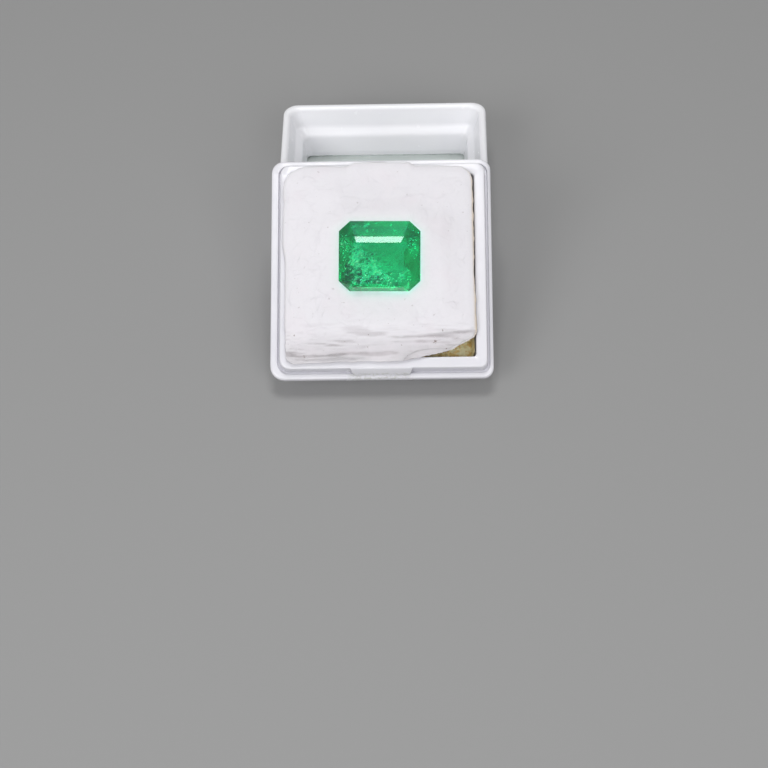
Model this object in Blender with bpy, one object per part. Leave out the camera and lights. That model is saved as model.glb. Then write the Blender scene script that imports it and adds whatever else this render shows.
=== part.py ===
"""A cut emerald on a cotton pad in a small white gem box, propped up on the box's own lid.

Metres, +Z up. +Y runs from the tray's low front edge to the lid behind it. The origin is the
middle of the whole group on the surface that it stands on.
"""
import math

import bmesh
import bpy
from mathutils import Matrix, Vector

MM = 0.001
GAP = 0.3 * MM  # left between pieces that touch

# Tray: sizes over its flange, and heights above its underside
TRAY_WIDTH = 30.0 * MM
TRAY_DEPTH = 30.8 * MM
TRAY_CORNERS = (1.9 * MM, 1.4 * MM, 1.6 * MM, 1.6 * MM)  # front left, front right, back right, back left
FLANGE_TOP = 5.0 * MM
GROOVE_DEPTH = 0.5 * MM  # around the collar's foot
COLLAR_TOP = 6.45 * MM
TRAY_FLOOR = 1.2 * MM
COLLAR_SETBACK = 1.06 * MM  # from the flange's edge to the collar
COLLAR_SHIFT = 0.25 * MM  # the collar and the cavity stand this far right of the flange's middle
CAVITY_SETBACK = 2.6 * MM  # from the flange's edge to the cavity's mouth
FOOT_SETBACK = 1.25 * MM  # from the flange's edge to the underside's edge
FOOT_DROP = 0.11 * MM  # how much the rounding of the front foot lowers the tilted tray
TRAY_TILT = math.radians(28.8)

# Catch on the front of the collar
CATCH_WIDTH = 8.3 * MM
CATCH_CHAMFER = 0.4 * MM
CATCH_PROUD = 0.6 * MM

# Lid, lying upturned with its window down
LID_WIDTH = 30.0 * MM
LID_HEIGHT = 9.05 * MM
LID_CORNER = 2.0 * MM
LID_RIM_ROUND = 0.38 * MM
LID_LIP_SETBACK = 3.22 * MM  # from the lid's side to the edge of its window opening
REBATE_SETBACK = 2.2 * MM
REBATE_HEIGHT = 1.65 * MM

PANE_THICKNESS = 1.1 * MM
PANE_BEVEL = 0.1 * MM
LINER_THICKNESS = 0.4 * MM
LINER_INSET = 0.58 * MM  # from the cavity's mouth to the card's edge, for the walls' slope
LINER_CORNER = 0.4 * MM

# Cotton pad: heights above the tray's underside
PAD_CROWN = 8.3 * MM
PAD_OVER_COLLAR = 0.35 * MM
PAD_RADII = (1.8 * MM, 1.5 * MM, 1.4 * MM, 2.6 * MM, 3.4 * MM)  # of its five corners, from the front left

# Emerald, with its girdle in its own XY plane
GEM_WIDTH = 10.9 * MM
GEM_DEPTH = 9.4 * MM
GEM_GIRDLE = 0.22 * MM
GEM_LEAN = math.radians(10)
GEM_TURN = math.radians(-0.8)
GEM_PLACE = Vector((-0.1, 0.45, 9.0)) * MM  # the girdle's middle, from the middle of the tray's underside

CORNER_STEPS = 6


def clear_scene():
    for old in list(bpy.data.objects):
        bpy.data.objects.remove(old, do_unlink=True)


def material(name, colour, roughness, transmission=0.0, ior=1.5, metallic=0.0):
    made = bpy.data.materials.new(name)
    made.use_nodes = True
    shader = made.node_tree.nodes["Principled BSDF"]
    shader.inputs["Base Color"].default_value = (*colour, 1.0)
    shader.inputs["Roughness"].default_value = roughness
    shader.inputs["Transmission Weight"].default_value = transmission
    shader.inputs["IOR"].default_value = ior
    shader.inputs["Metallic"].default_value = metallic
    made.diffuse_color = (*colour, 1.0)
    return made


def rounded_loop(corners, radii, height):
    """Points of a polygon with rounded corners, anticlockwise, the same number at each corner."""
    points = []
    count = len(corners)
    for index, corner in enumerate(corners):
        here = Vector(corner)
        back = (Vector(corners[index - 1]) - here).normalized()
        ahead = (Vector(corners[(index + 1) % count]) - here).normalized()
        half = back.angle(ahead) / 2
        reach = radii[index] / math.tan(half)
        centre = here + (back + ahead).normalized() * (radii[index] / math.sin(half))
        start = here + back * reach - centre
        sweep = math.pi - 2 * half
        for step in range(CORNER_STEPS + 1):
            turned = Matrix.Rotation(sweep * step / CORNER_STEPS, 2) @ start
            points.append(Vector((*(centre + turned), height)))
    return points


def rectangle(width, depth):
    """Corners of a rectangle about the origin, anticlockwise."""
    x = width / 2
    y = depth / 2
    return [(-x, -y), (x, -y), (x, y), (-x, y)]


def profile_loops(profile, width, depth, corners, tightening, shift=0.0):
    """One rounded rectangle for each (setback, height) of a moulded wall's profile, in millimetres."""
    loops = []
    for setback, height in profile:
        inset = setback * MM
        radii = [max(corner - tightening * inset, 0.4 * MM) for corner in corners]
        sides = [(x + shift, y) for x, y in rectangle(width - 2 * inset, depth - 2 * inset)]
        loops.append(rounded_loop(sides, radii, height * MM))
    return loops


def loft(name, loops, ring=False):
    """A closed solid through loops of equal length: capped at both ends, or joined as a ring."""
    mesh = bpy.data.meshes.new(name)
    shape = bmesh.new()
    rows = [[shape.verts.new(point) for point in loop] for loop in loops]
    pairs = list(zip(rows, rows[1:]))
    if ring:
        pairs.append((rows[-1], rows[0]))
    for low, high in pairs:
        for index in range(len(low)):
            after = (index + 1) % len(low)
            shape.faces.new((low[index], low[after], high[after], high[index]))
    if not ring:
        shape.faces.new(list(reversed(rows[0])))
        shape.faces.new(rows[-1])
    bmesh.ops.recalc_face_normals(shape, faces=shape.faces)
    shape.to_mesh(mesh)
    shape.free()
    made = bpy.data.objects.new(name, mesh)
    bpy.context.collection.objects.link(made)
    return made


def smooth(thing, sharp_degrees=35):
    thing.data.shade_smooth()
    thing.data.set_sharp_from_angle(angle=math.radians(sharp_degrees))


def cut_or_join(thing, other, operation):
    """Keeps a Boolean on thing, and hides the shape that it uses."""
    boolean = thing.modifiers.new(operation.title(), "BOOLEAN")
    boolean.operation = operation
    boolean.solver = "EXACT"
    boolean.object = other
    other.hide_render = True
    other.display_type = "WIRE"


def make_tray(parent):
    """Moulded tray: body, flange, groove, raised collar and the cavity inside it."""
    flange = FLANGE_TOP / MM
    collar = COLLAR_TOP / MM
    floor = TRAY_FLOOR / MM
    foot = FOOT_SETBACK / MM
    outer = COLLAR_SETBACK / MM
    inner = CAVITY_SETBACK / MM
    groove = (FLANGE_TOP - GROOVE_DEPTH) / MM
    shell = [
        (foot + 0.3, 0.0), (foot + 0.08, 0.08), (foot, 0.3),
        (foot - 0.4, flange - 1.2), (0.15, flange - 1.1),
        (0.0, flange - 0.95), (0.0, flange - 0.25), (0.07, flange - 0.07), (0.25, flange),
    ]
    ring = [
        (outer - 0.36, flange), (outer - 0.3, groove), (outer - 0.02, groove), (outer + 0.04, collar - 0.2),
        (outer + 0.1, collar - 0.06), (outer + 0.24, collar),
        (inner - 0.2, collar), (inner - 0.05, collar - 0.06), (inner, collar - 0.2),
        (inner + 0.15, floor + 0.6), (inner + 0.3, floor + 0.15), (inner + 0.7, floor),
    ]
    loops = profile_loops(shell, TRAY_WIDTH, TRAY_DEPTH, TRAY_CORNERS, 0.45)
    loops += profile_loops(ring, TRAY_WIDTH, TRAY_DEPTH, TRAY_CORNERS, 0.45, COLLAR_SHIFT)
    tray = loft("base_tray", loops)
    tray.data.materials.append(material("tray white plastic", (0.84, 0.84, 0.87), 0.28))
    smooth(tray)
    tray.parent = parent
    catch = make_catch()
    catch.parent = parent
    cut_or_join(tray, catch, "UNION")
    return tray


def make_catch():
    """The wedge on the collar's front that the lid's edge clicks over."""
    face = -(TRAY_DEPTH / 2 - COLLAR_SETBACK)
    half = CATCH_WIDTH / 2
    inside = face + 0.5 * MM
    levels = [(FLANGE_TOP - GROOVE_DEPTH - 0.2 * MM, CATCH_PROUD), (FLANGE_TOP + 0.3 * MM, CATCH_PROUD),
              (COLLAR_TOP - 0.08 * MM, 0.0)]
    loops = []
    for height, proud in levels:
        chamfer = CATCH_CHAMFER * proud / CATCH_PROUD
        outside = face - proud - 0.01 * MM
        plan = [(-half, face), (-half + chamfer, outside), (half - chamfer, outside), (half, face),
                (half, inside), (-half, inside)]
        loops.append([Vector((x, y, height)) for x, y in plan])
    return loft("catch_shape", loops)


def make_lid(parent):
    """Moulded lid frame, upturned: rim, stepped inner slope, lip and the rebate under the lip."""
    top = LID_HEIGHT / MM
    lip = LID_LIP_SETBACK / MM
    rebate = REBATE_HEIGHT / MM
    side = REBATE_SETBACK / MM
    profile = [
        (0.45, 0.0), (0.22, 0.08), (0.14, 0.3),
        (0.0, top - 0.5), (0.06, top - 0.22), (0.2, top - 0.06), (0.38, top),
        (0.65, top), (0.88, top - 0.08), (1.04, top - 0.25), (1.12, top - 0.5), (1.15, top - 0.7),
        (1.7, top - 2.55), (1.8, top - 2.8), (2.0, top - 3.1), (2.6, top - 3.85), (2.75, top - 4.1),
        (2.82, top - 4.4), (lip - 0.06, rebate + 0.9), (lip, rebate + 0.75),
        (lip, rebate), (side, rebate), (side, 0.0),
    ]
    loops = profile_loops(profile, LID_WIDTH, LID_WIDTH, [LID_CORNER] * 4, 0.4)
    lid = loft("lid_frame", loops, ring=True)
    lid.data.materials.append(material("lid white plastic", (0.82, 0.83, 0.86), 0.3))
    smooth(lid)
    lid.parent = parent
    return lid


def make_pane(parent):
    """Clear window plate, set into the lid's rebate from outside."""
    side = LID_WIDTH - 2 * (REBATE_SETBACK + GAP)
    top = REBATE_HEIGHT - GAP
    bottom = top - PANE_THICKNESS
    levels = [(PANE_BEVEL, bottom), (0.0, bottom + PANE_BEVEL), (0.0, top - PANE_BEVEL), (PANE_BEVEL, top)]
    loops = []
    for inset, height in levels:
        corners = rectangle(side - 2 * inset, side - 2 * inset)
        loops.append(rounded_loop(corners, [0.5 * MM] * 4, height))
    pane = loft("lid_window", loops)
    pane.data.materials.append(material("clear window", (0.97, 0.99, 0.98), 0.03, 1.0, 1.5))
    pane.parent = parent
    return pane


def make_liner(parent):
    """Gold card that lies on the tray's floor."""
    inset = 2 * (CAVITY_SETBACK + LINER_INSET)
    corners = [(x + COLLAR_SHIFT, y) for x, y in rectangle(TRAY_WIDTH - inset, TRAY_DEPTH - inset)]
    bottom = TRAY_FLOOR + GAP
    levels = (bottom, bottom + LINER_THICKNESS)
    loops = [rounded_loop(corners, [LINER_CORNER] * 4, height) for height in levels]
    liner = loft("gold_liner", loops)
    liner.data.materials.append(material("gold card", (0.36, 0.26, 0.1), 0.45, metallic=0.4))
    liner.parent = parent
    return liner


def pad_corners(left, right, back, front, cut_front, cut_right):
    """Plan of the pad: a rectangle whose front right corner is drawn back, in millimetres."""
    plan = [(-left, -front), (cut_front, -front), (right, -cut_right), (right, back), (-left, back)]
    return [(x * MM, y * MM) for x, y in plan]


def make_pad(parent):
    """Cotton pad: fills the cavity, lies over the collar on three sides and swells to a low crown."""
    bottom = (TRAY_FLOOR + 2 * GAP + LINER_THICKNESS) / MM
    mouth = (COLLAR_TOP + PAD_OVER_COLLAR) / MM
    crown = PAD_CROWN / MM
    inside = (11.7, 12.2, 12.2, 12.2, 4.4, 9.4)
    outside = (13.2, 12.45, 13.9, 13.6, 3.9, 10.2)
    levels = [
        (0.7, bottom, inside), (0.2, bottom + 0.5, inside), (0.0, bottom + 3.0, inside),
        (0.0, mouth - 0.6, inside), (0.05, mouth, inside),
        (0.1, mouth + 0.03, outside), (0.0, mouth + 0.25, outside), (0.45, mouth + 0.55, outside),
        (1.6, mouth + 0.72, outside), (4.0, crown - 0.08, outside), (8.0, crown, outside),
    ]
    loops = []
    for inset, height, (left, right, back, front, cut_front, cut_right) in levels:
        plan = pad_corners(left - inset, right - inset, back - inset, front - inset,
                           cut_front - inset * 0.4, cut_right - inset)
        radii = [radius * (1.0 + 0.07 * inset) for radius in PAD_RADII]
        loops.append(rounded_loop(plan, radii, height * MM))
    pad = loft("cotton_pad", loops)
    pad.data.materials.append(material("cotton", (0.82, 0.8, 0.82), 0.95))
    smooth(pad, 50)
    pad.parent = parent
    pocket = make_gem("gem_pocket", GAP + 0.05 * MM)
    pocket.parent = parent
    cut_or_join(pad, pocket, "DIFFERENCE")
    return pad


def octagon(left, right, front, back, cut_x, cut_y, height):
    """An eight-sided loop with its corners cut off, anticlockwise, in millimetres."""
    plan = [(-left + cut_x, -front), (right - cut_x, -front), (right, -front + cut_y), (right, back - cut_y),
            (right - cut_x, back), (-left + cut_x, back), (-left, back - cut_y), (-left, -front + cut_y)]
    return [Vector((x, y, height)) * MM for x, y in plan]


def make_gem(name, grow):
    """Step-cut emerald: three steps below the girdle, two above it, the table off centre."""
    extra = grow / MM
    x = GEM_WIDTH / MM / 2
    y = GEM_DEPTH / MM / 2
    rim = GEM_GIRDLE / MM
    levels = [
        (1.9, 1.9, 0.35, 0.35, 0.1, 0.1, -3.7),
        (3.3, 3.3, 2.1, 2.1, 0.55, 0.5, -2.75),
        (4.6, 4.6, 3.7, 3.7, 1.0, 0.95, -1.45),
        (x, x, y, y, 1.47, 1.35, 0.0),
        (x, x, y, y, 1.47, 1.35, rim),
        (4.1, 4.0, 4.25, 2.5, 0.74, 0.8, rim + 0.97),
        (3.5, 3.3, 3.9, 1.67, 0.46, 0.55, rim + 1.23),
    ]
    loops = []
    for left, right, front, back, cut_x, cut_y, height in levels:
        level = height - extra if height < 0 else height + extra
        loops.append(octagon(left + extra, right + extra, front + extra, back + extra,
                             cut_x + extra * 0.6, cut_y + extra * 0.6, level))
    gem = loft(name, loops)
    gem.location = GEM_PLACE
    gem.rotation_euler = (GEM_LEAN, 0.0, GEM_TURN)
    return gem


def make_emerald(parent):
    gem = make_gem("emerald", 0.0)
    gem.data.materials.append(material("emerald", (0.02, 0.55, 0.18), 0.03, 1.0, 1.58))
    gem.parent = parent
    return gem


def empty(name, parent, location, tilt=0.0):
    made = bpy.data.objects.new(name, None)
    made.location = location
    made.rotation_euler = (tilt, 0.0, 0.0)
    made.parent = parent
    bpy.context.collection.objects.link(made)
    return made


def lid_distance():
    """How far behind the tray's low front edge the lid's near side stands, for the tray to lean on it."""
    edge = LID_RIM_ROUND
    above = (LID_HEIGHT - edge) * math.cos(TRAY_TILT) + edge + GAP
    return above / math.sin(TRAY_TILT) - edge


def centre_group(group):
    """Moves the group so that its middle stands over the origin, front to back."""
    bpy.context.view_layer.update()
    depths = []
    for thing in bpy.data.objects:
        if thing.type == "MESH":
            depths.extend((thing.matrix_world @ vertex.co).y for vertex in thing.data.vertices)
    group.location.y = -(min(depths) + max(depths)) / 2


def main():
    clear_scene()
    group = empty("gem_box_group", None, (0.0, 0.0, 0.0))
    lid_place = empty("lid_place", group, (0.0, lid_distance() + LID_WIDTH / 2, 0.0))
    tray_edge = empty("tray_edge", group, (0.0, 0.0, -FOOT_DROP), TRAY_TILT)
    half_foot = TRAY_DEPTH / 2 - FOOT_SETBACK
    tray_place = empty("tray_place", tray_edge, (0.0, half_foot, 0.0))
    make_tray(tray_place)
    make_liner(tray_place)
    make_pad(tray_place)
    make_emerald(tray_place)
    make_lid(lid_place)
    make_pane(lid_place)
    centre_group(group)


main()
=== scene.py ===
"""Looks of a cut emerald on cotton wool in its small white box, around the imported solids.

Metres, +Z up. The soft pieces are shaped in the tray's own frame, in millimetres: x across, y along the
tray towards the lid, z up from the tray's underside, with the origin in the underside's middle.
"""
import math
import random

import bpy
import numpy as np
from mathutils import Matrix, Vector, noise
from mathutils.bvhtree import BVHTree


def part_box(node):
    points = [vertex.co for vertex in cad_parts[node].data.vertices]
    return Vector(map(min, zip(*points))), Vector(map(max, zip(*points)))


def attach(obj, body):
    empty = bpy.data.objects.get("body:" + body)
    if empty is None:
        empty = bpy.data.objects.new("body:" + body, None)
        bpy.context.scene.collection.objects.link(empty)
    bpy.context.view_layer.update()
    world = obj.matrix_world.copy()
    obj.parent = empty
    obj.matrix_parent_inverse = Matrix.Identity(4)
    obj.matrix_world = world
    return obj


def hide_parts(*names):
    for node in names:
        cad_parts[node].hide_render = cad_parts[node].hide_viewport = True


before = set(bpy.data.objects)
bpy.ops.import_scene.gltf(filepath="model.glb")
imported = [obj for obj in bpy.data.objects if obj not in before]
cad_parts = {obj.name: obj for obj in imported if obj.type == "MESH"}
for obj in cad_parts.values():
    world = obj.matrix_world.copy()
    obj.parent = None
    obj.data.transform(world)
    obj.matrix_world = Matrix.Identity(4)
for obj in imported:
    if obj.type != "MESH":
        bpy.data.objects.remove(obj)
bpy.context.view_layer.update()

bl_info = {
    "name": "Gem display box",
    "version": (1, 0, 0),
    "blender": (4, 5, 0),
    "location": "View3D > Sidebar > Gem box",
    "description": "Dresses a cut emerald on cotton wool in a small white box with its lid",
    "category": "Object",
}

BODY = "root"
MM = 0.001
SEED = 7
UP = Vector((0.0, 0.0, 1.0))

# The tray's frame, found from the card that lies on its floor
TRAY_TILT = math.radians(28.8)
CARD_PLACE = Vector((0.25, 0.0, 1.7))  # the card's middle, from the middle of the tray's underside
COLLAR_TOP = 6.45

# Moulded plastic: rounding of its edges and gap of its split corners in metres, and its sharp edges
MOULDED_EDGE = 0.00014
SPLIT_CORNERS = 0.000002
SHARP_ANGLE = math.radians(50)
TRAY_RIPPLE = 0.03
LID_RIPPLE = 0.02

# Rough patch on the tray's front, in the world's metres: its place, its ragged sides and its soft ends
PATCH_MIDDLE = -0.0004
PATCH_HALF = 0.0043
PATCH_BACK = -0.0240
PATCH_TOP = 0.0043
PATCH_RAGGED = 0.0012
PATCH_SIDE_FADE = 0.0009
PATCH_BACK_FADE = 0.0004
PATCH_TOP_FADE = 0.0005

# The gold card's right edge: its line up the tray's wall as x and z, and its waves' rates and starts
CARD_EDGE = ((11.85, 1.95), (12.08, 1.97), (12.22, 2.3), (12.33, 3.2), (12.40, 4.2), (12.47, 5.2))
CARD_EDGE_THICKNESS = 0.06
CARD_EDGE_REACH = 12.0
CARD_EDGE_ROWS = 48
CARD_EDGE_WAVE = 0.012
CARD_EDGE_RIPPLES = ((1.3, 0.0), (0.47, 1.0))

# Cotton pad: corners of its plan from the front left, within the tray and over its collar
PAD_BOTTOM = 2.2
PAD_MOUTH = 6.8
PAD_CROWN = 8.4
PAD_INSIDE = ((-11.7, -12.2), (3.6, -12.2), (8.6, -11.4), (12.1, -9.5), (12.1, 12.2), (-11.7, 12.2))
PAD_OUTSIDE = ((-13.1, -13.8), (3.4, -13.5), (8.8, -12.3), (12.75, -10.3), (12.55, 13.9), (-13.1, 13.9))
PAD_RADII = (1.6, 3.0, 3.0, 1.4, 2.4, 3.2)
PAD_CORNER_STEPS = 8
PAD_ROUNDING = 0.07  # how much rounder the corners get for each millimetre of inset
PAD_INSET_FULL = 10.0  # this far from the middle, points move in by the whole inset
PAD_VOXEL = 0.17
PAD_SMOOTHING = 5

# Levels of the pad, lowest first: inset, height and plan
PAD_LEVELS = (
    (0.7, PAD_BOTTOM, PAD_INSIDE), (0.2, PAD_BOTTOM + 0.5, PAD_INSIDE), (0.0, PAD_BOTTOM + 3.0, PAD_INSIDE),
    (0.0, PAD_MOUTH - 0.5, PAD_INSIDE), (0.05, PAD_MOUTH, PAD_INSIDE),
    (0.15, PAD_MOUTH + 0.03, PAD_OUTSIDE), (0.0, PAD_MOUTH + 0.2, PAD_OUTSIDE),
    (0.1, PAD_MOUTH + 0.36, PAD_OUTSIDE), (0.4, PAD_MOUTH + 0.55, PAD_OUTSIDE),
    (1.0, PAD_MOUTH + 0.76, PAD_OUTSIDE), (2.2, PAD_MOUTH + 1.0, PAD_OUTSIDE),
    (4.5, PAD_CROWN - 0.15, PAD_OUTSIDE), (8.0, PAD_CROWN, PAD_OUTSIDE),
)

# Working of the cotton. A pair says where a change starts and where it is full
LYING = (0.0, 0.6)  # upward part of the surface's direction
STANDING = (0.9, 0.3)
TORN_BAND = (7.6, 11.0)  # from the middle to the front
SWELLS = ((0.16, 0.17), (0.04, 0.4))  # height and closeness of each
FLUFF_HEIGHT = 0.004
TORN_FLUFF_HEIGHT = 0.012
FLUFF_CLOSENESS = 1.7
STRAND_HEIGHT = 0.09
STRAND_CLOSENESS = (0.18, 1.8, 1.8)
RAGGED_REACH = 0.15
RAGGED_CLOSENESS = (0.45, 0.45, 0.9)
BACK_BULGE = 0.5
BACK_BULGE_ALONG = (11.0, 13.6)
BACK_BULGE_HALF = 4.8
BACK_BULGE_FADE = (0.0, 1.2)
LEFT_EDGE_OUT = 0.3
LEFT_EDGE_IN = 0.1
LEFT_EDGE_ALONG = (0.0, 4.0)
LEFT_EDGE_ACROSS = (10.0, 13.0)
CREASE_X = 6.5
CREASE_Y = -9.9
CREASE_TURN = 0.1
CREASE_DEPTH = 0.30
CREASE_FALL = (0.0, 0.3)
CREASE_ACROSS = (2.0, 7.0)
FRONT_SAG = 0.7
FRONT_SAG_ALONG = (8.5, 13.5)
FRONT_SAG_UP = (PAD_MOUTH, PAD_MOUTH + 0.9)
DENT_REACH = 2.8
DENT_BELOW_GIRDLE = 0.35
DENT_UNEVENNESS = 0.03
DENT_CLOSENESS = 1.2
DENT_GAP = 0.06
DENT_EDGE = 0.6

# Tones of the cotton: painted green light beside the stone, painted shade in the crease, between strands and
# towards the front, and painted light from the gold card on its side
GLOW = 0.15
GLOW_AROUND = (-0.4, 1.8)
CREASE_SHADE = 0.4
CREASE_SHADE_NEAR = (-0.05, 0.1)
CREASE_SHADE_FAR = (0.7, 0.1)
CREASE_SHADE_ACROSS = (4.0, 8.0)
FOLDED_SHADE = 0.2
STREAK_SHADE = 0.6
STREAK_DEPTH = (0.0, 0.8)
FRONT_SHADE = 0.45
FRONT_SHADE_ALONG = (9.0, 13.0)
HOLLOW_SHADE = 0.06
CLOUD_SHARE = 0.4
SPECKS = 0.3
TORN_SPECKS = 0.7
GOLD_SHINE = 0.8
GOLD_SHINE_FACING = (0.35, 0.8)
GOLD_SHINE_ACROSS = (10.5, 12.0)

# Loose fibres
FIBRE_ACROSS = (-13.2, 12.0)
FIBRE_ALONG = (-13.8, 13.9)
FIBRE_COMBED = -7.5  # in front of this they run across
FIBRE_SPREAD = 0.35
FIBRE_CURL = 0.35
FIBRE_WANDER = 0.12
FIBRE_STEP = (0.12, 0.34)
FIBRE_LIFT = (0.0, 0.06)
FIBRE_HEIGHT = 0.01
FIBRE_POINTS = 11
FIBRE_SIDES = 3
FIBRE_TIP = 0.35
FIBRE_TRIES = 3
FIBRE_LOWEST = COLLAR_TOP - 1.5
FIBRE_GEM_GAP = 0.05
ABOVE_ALL = 14.0

# Stone; a facet is sorted by the upward part of its outward direction
GEM_MIDDLE = Vector((-0.1, 0.45, 9.0))
GEM_LEAN = math.radians(10)
SLOPING = 0.15
UPRIGHT = 0.3

# Slant across the stone, part of X plus Y in metres, over which its garden fades to the front left
GARDEN_SLANT = 0.5
GARDEN_FAR = -0.0115
GARDEN_NEAR = -0.0175

# Inclusions: looks (name, colour, opacity, fineness, raggedness), and kinds (look, share, regions, longest,
# slimmest, deepest); a region is its middle and spread on the stone, across and along
INCLUSION_COVER = 0.02
INCLUSION_SINK = 0.35  # depth for each millimetre of a flake's width
INCLUSION_BEND = 0.3
INCLUSION_SHORTEST = 0.3  # part of its kind's longest
INCLUSION_RIM = (5, 8)
INCLUSION_RIM_REACH = (0.5, 1.0)
WISP_SLANT = 0.6
WISP_DRAWN = (2.4, 1.0, 1.0)
FLAKE_TURNS = (("Z", WISP_SLANT, 0.5), ("X", 0.0, 0.12), ("Y", 0.0, 0.08))
INCLUSION_LOOKS = (
    ("Feathers", (0.65, 1.0, 0.52), 0.38, 2600.0, 0.43),
    ("Dark garden", (0.0, 0.07, 0.03), 0.82, 3200.0, 0.41),
    ("Sparkles", (1.0, 1.0, 0.74), 0.85, 0.0, 0.0),
)
RAGGED_FADE = 0.14
INCLUSION_KINDS = (
    (0, 0.7, ((-2.2, -1.6, 1.0, 0.9), (-2.9, -0.2, 0.4, 1.0), (-0.6, -2.7, 1.8, 0.5)), 1.1, 0.30, 0.30),
    (0, 0.3, ((0.0, 0.0, 2.6, 2.0), (-1.8, 3.9, 1.2, 0.3), (3.4, -3.0, 0.5, 0.5)), 0.50, 0.25, 0.40),
    (1, 0.5, ((-4.3, -2.6, 0.4, 0.8), (-3.4, -3.4, 0.6, 0.4), (-0.9, -3.7, 1.9, 0.25)), 0.65, 0.30, 0.10),
    (1, 0.4, ((-1.6, -0.8, 0.9, 0.5), (4.4, 0.8, 0.3, 1.4), (-4.6, 1.4, 0.3, 1.2)), 0.35, 0.15, 0.10),
    (2, 1.2, ((-0.8, -4.1, 2.3, 0.25), (-4.7, 0.6, 0.25, 1.8), (4.6, 1.2, 0.3, 1.2), (-0.6, -3.1, 1.7, 0.5)),
     0.14, 0.30, 0.04),
)

# Stage, in metres: name, side and place of each light
LIGHTS = (
    ("softbox", 0.135, (0.0, -0.01, 0.42)),
    ("left_fill", 0.3, (-0.332, -0.434, 0.375)),
    ("right_fill", 0.3, (0.207, -0.522, 0.372)),
    ("front_light", 0.12, (-0.02, -0.45, 0.40)),
    ("left_key", 0.22, (-0.30, -0.34, 0.46)),
    ("right_key", 0.22, (0.22, -0.38, 0.46)),
)
LIGHT_AIM = Vector((0.0, 0.0, 0.01))
FLOOR_SIDE = 3.0
CAMERA_PLACE = Vector((0.00773, -0.200587, 0.19902))
CAMERA_YAW = math.radians(-2.436)
CAMERA_PITCH = math.radians(48.215)
CAMERA_ROLL = math.radians(-2.434)
CAMERA_NEAREST = 0.01
SENSOR = 36.0


def tray_frame():
    """Matrix from the tray's own millimetres to the world's metres."""
    low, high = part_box("gold_liner")
    turn = Matrix.Rotation(TRAY_TILT, 4, "X")
    underside = (low + high) / 2 - turn @ (CARD_PLACE * MM)
    return Matrix.Translation(underside) @ turn @ Matrix.Scale(MM, 4)


TRAY = tray_frame()
INTO_TRAY = TRAY.inverted()


def colour_property(name, description, default):
    return bpy.props.FloatVectorProperty(
        name=name, description=description, subtype="COLOR", size=3, min=0.0, max=1.0, default=default)


def roughness_property(description, default):
    return bpy.props.FloatProperty(
        name="Roughness", description=description, subtype="FACTOR", min=0.0, max=1.0, default=default)


def power_property(name, description, default):
    return bpy.props.FloatProperty(
        name=name, description=description, subtype="POWER", min=0.0, default=default)


class TrayFinish(bpy.types.PropertyGroup):
    colour: colour_property("Colour", "Colour of the moulded plastic", (0.79, 0.785, 0.83))
    shade: colour_property("Shade", "Colour of its faint darker patches", (0.76, 0.755, 0.805))
    patch: colour_property("Rough patch", "Colour where the catch was cut free", (0.66, 0.67, 0.64))
    roughness: roughness_property("Roughness of the moulded skin", 0.16)


class LidFinish(bpy.types.PropertyGroup):
    colour: colour_property("Colour", "Colour of the moulded plastic", (0.93, 0.93, 0.97))
    shade: colour_property("Shade", "Colour of its faint darker patches", (0.91, 0.91, 0.955))
    window: colour_property("Window", "Faint colour of the clear window", (0.90, 0.96, 0.94))
    roughness: roughness_property("Roughness of the moulded skin", 0.18)


class CottonFinish(bpy.types.PropertyGroup):
    colour: colour_property("Colour", "Colour of the cotton's fluff", (0.80, 0.785, 0.82))
    cloud: colour_property("Clouds", "Colour of its faint pinkish clouds", (0.80, 0.76, 0.80))
    # Painted shade: colour laid between the cotton's strands, in its crease and towards its front
    painted_shade: colour_property("Hollows", "Colour between the cotton's strands", (0.50, 0.47, 0.49))
    speck: colour_property("Specks", "Colour of its few dark specks", (0.30, 0.25, 0.24))
    # Painted green light that the stone throws on the cotton
    beside_stone: colour_property(
        "Beside the stone", "Colour of the light that the stone throws on it", (0.55, 0.88, 0.68))
    # Painted light from the gold card on the cotton's side that faces it
    beside_gold: colour_property(
        "Beside the gold", "Colour of its side that takes light from the gold card", (0.72, 0.60, 0.45))
    fibres: bpy.props.IntProperty(
        name="Fibres", description="Number of loose fibres on the pad", min=0, max=4000, default=300)
    fibre_width: bpy.props.FloatProperty(
        name="Fibre width", description="Thickness of a loose fibre", subtype="DISTANCE",
        min=0.000005, max=0.0001, default=0.00002)


class GoldFinish(bpy.types.PropertyGroup):
    bright: colour_property("Bright", "Colour of the foil's bright flecks", (1.0, 0.95, 0.62))
    dull: colour_property("Dull", "Colour of the foil's worn patches", (0.84, 0.60, 0.20))


class EmeraldFinish(bpy.types.PropertyGroup):
    colour: colour_property(
        "Colour", "Colour that is left in light that crosses the stone", (0.002, 0.944, 0.85))
    tint: colour_property("Tint", "Colour of the stone's skin, which thin parts keep", (0.0, 0.66, 0.50))
    cloud: colour_property("Clouds", "Colour of the paler clouds in the skin", (0.02, 0.84, 0.64))
    deep: colour_property("Dark wisps", "Colour of the dark wisps in the skin", (0.0, 0.30, 0.24))
    feather: colour_property("Pale wisps", "Colour of the pale wisps in the skin", (0.30, 1.0, 0.85))
    gleam: colour_property("Gleam", "Colour of what the clouded skin mirrors", (0.35, 0.85, 0.80))
    roughness: roughness_property("Roughness of the clouded skin, under its clear polish", 0.26)
    density: bpy.props.FloatProperty(
        name="Depth of colour", description="How much light the stone takes, for each metre", min=0.0,
        max=5000.0, default=900.0)
    refraction: bpy.props.FloatProperty(
        name="Refraction", description="The stone's index of refraction", min=1.0, max=2.5, default=1.58)
    inclusions: bpy.props.IntProperty(
        name="Inclusions", description="Number of small flakes and feathers in the stone", min=0, max=600,
        default=150)


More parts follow.
